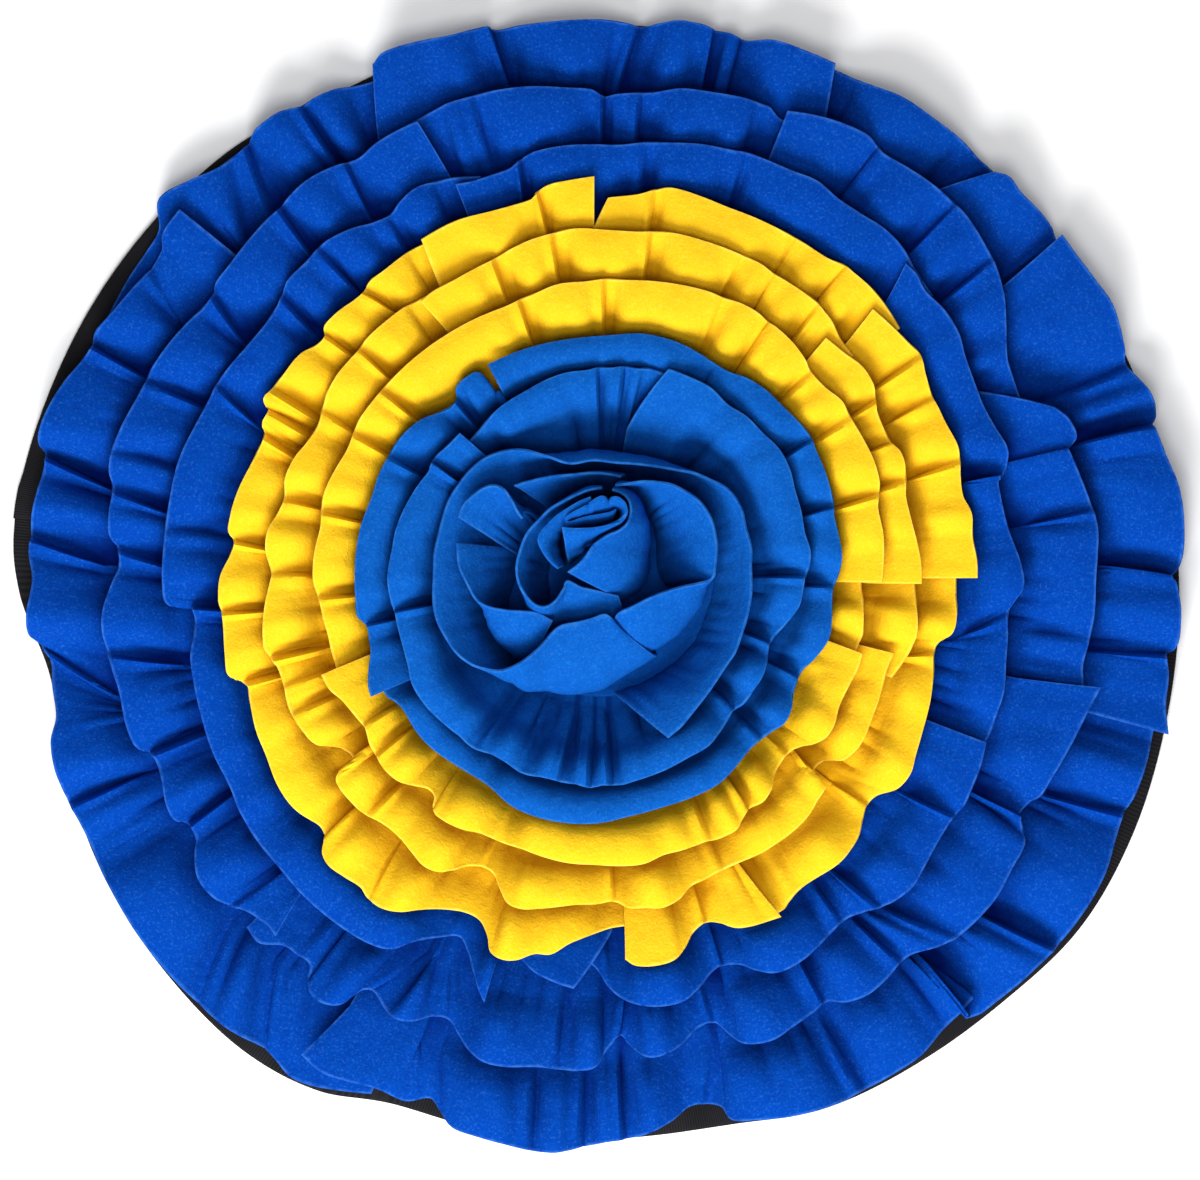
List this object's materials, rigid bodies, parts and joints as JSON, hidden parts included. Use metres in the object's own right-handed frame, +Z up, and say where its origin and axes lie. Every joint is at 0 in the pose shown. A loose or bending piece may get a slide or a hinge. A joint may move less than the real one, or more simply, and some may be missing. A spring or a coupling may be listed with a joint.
{
  "type": "snuffle mat",
  "caption": "Round snuffle mat for a dog: rings of pleated blue and yellow fleece round a blue fleece rosette, on a bound black felt base.",
  "frame": {"origin": "middle of the base's underside, on the surface that the mat lies on", "axes": "+Z up out of the rosette, +X and +Y in the plane of the mat; the lapped joint of the binding is at 171 degrees from +X"},
  "size_m": [0.5042, 0.4876, 0.0505],
  "materials": {
    "base_felt": "matte",
    "binding_tape": "matte",
    "outer_blue_fleece": "matte",
    "yellow_fleece": "matte",
    "inner_blue_fleece": "matte",
    "rosette_fleece": "matte"
  },
  "bodies": {
    "root": {"mat_base": "base_felt", "edge_binding": "binding_tape", "ring_1_strip_a": "outer_blue_fleece", "ring_1_strip_b": "outer_blue_fleece", "ring_1_strip_c": "outer_blue_fleece", "ring_1_strip_d": "outer_blue_fleece", "ring_1_strip_e": "outer_blue_fleece", "ring_1_strip_f": "outer_blue_fleece", "ring_1_strip_g": "outer_blue_fleece", "ring_2_strip_a": "outer_blue_fleece", "ring_2_strip_b": "outer_blue_fleece", "ring_2_strip_c": "outer_blue_fleece", "ring_2_strip_d": "outer_blue_fleece", "ring_2_strip_e": "outer_blue_fleece", "ring_3_strip_a": "outer_blue_fleece", "ring_3_strip_b": "outer_blue_fleece", "ring_3_strip_c": "outer_blue_fleece", "ring_3_strip_d": "outer_blue_fleece", "ring_3_strip_e": "outer_blue_fleece", "ring_4_strip_a": "yellow_fleece", "ring_4_strip_b": "yellow_fleece", "ring_4_strip_c": "yellow_fleece", "ring_4_strip_d": "yellow_fleece", "ring_4_strip_e": "yellow_fleece", "ring_4_strip_f": "yellow_fleece", "ring_5_strip_a": "yellow_fleece", "ring_5_strip_b": "yellow_fleece", "ring_5_strip_c": "yellow_fleece", "ring_5_strip_d": "yellow_fleece", "ring_6_strip_a": "yellow_fleece", "ring_6_strip_b": "yellow_fleece", "ring_6_strip_c": "yellow_fleece", "ring_7_strip_a": "inner_blue_fleece", "ring_7_strip_b": "inner_blue_fleece", "ring_8_strip_a": "inner_blue_fleece", "ring_8_strip_b": "inner_blue_fleece", "rose_wrap": "rosette_fleece", "rose_petal_low": "rosette_fleece", "rose_petal_high": "rosette_fleece", "rose_petal_back": "rosette_fleece", "rose_petal_right": "rosette_fleece", "rose_bud_outer": "rosette_fleece", "rose_bud_inner": "rosette_fleece", "rose_bud_right": "rosette_fleece", "rose_heart": "rosette_fleece"}
  },
  "joints": []
}
